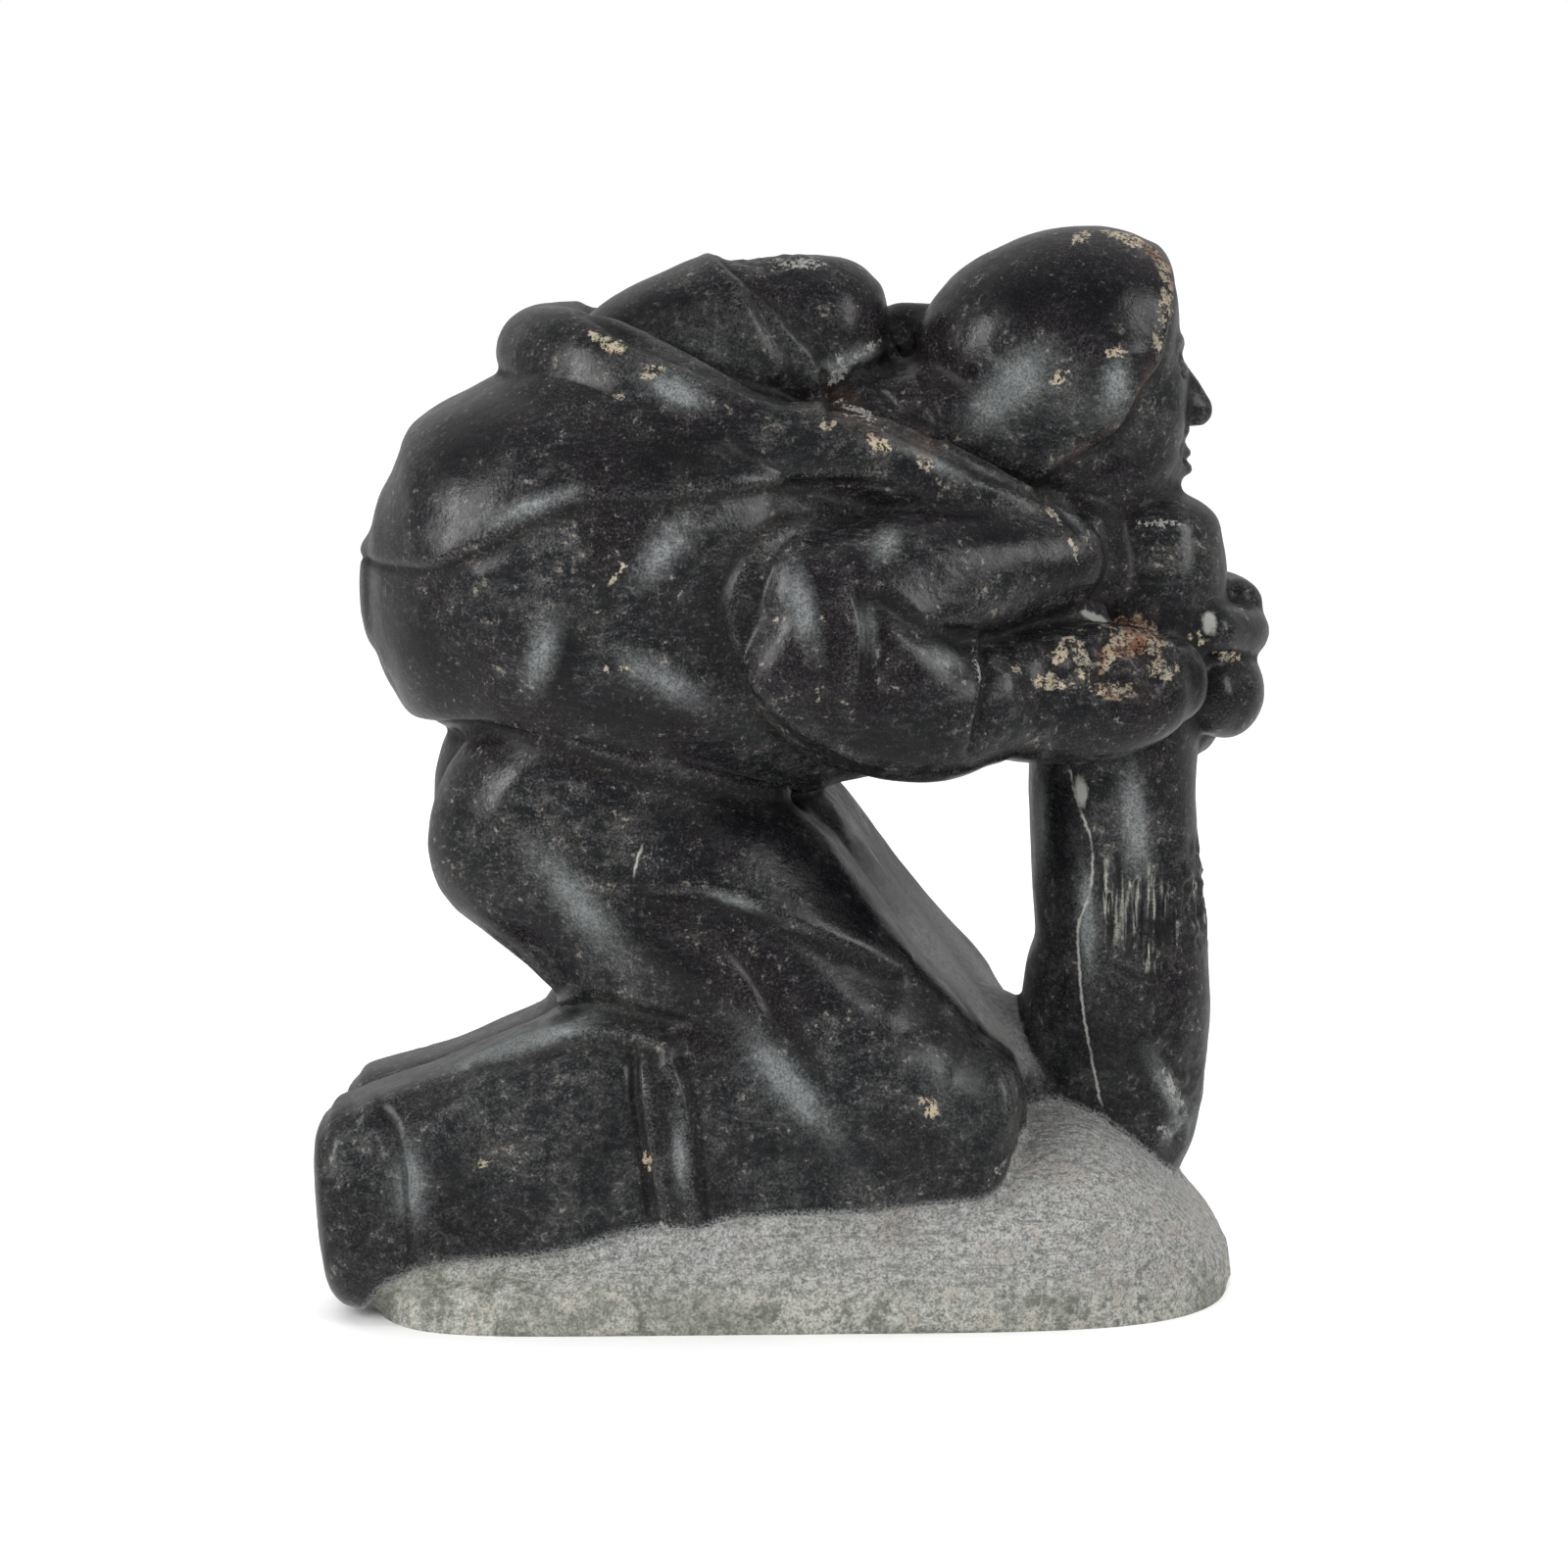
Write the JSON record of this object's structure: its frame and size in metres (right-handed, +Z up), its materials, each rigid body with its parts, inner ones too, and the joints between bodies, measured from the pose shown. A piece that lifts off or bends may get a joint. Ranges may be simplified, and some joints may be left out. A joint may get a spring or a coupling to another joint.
{
  "type": "stone mother and child carving",
  "caption": "Dark stone carving of a kneeling mother bent over a post that her hands clasp, with a small child in the hood on her back, on its own rough base.",
  "frame": {"origin": "on the flat underside of the base, under the middle of the carving", "axes": "+Z up, the mother faces +X, and her right side, which is the near side of the picture, is at -Y"},
  "size_m": [0.2896, 0.1835, 0.3214],
  "materials": {
    "dark_stone": "polished black stone, left raw and pale grey on the base"
  },
  "bodies": {
    "root": {"stone_carving": "dark_stone"}
  },
  "joints": []
}
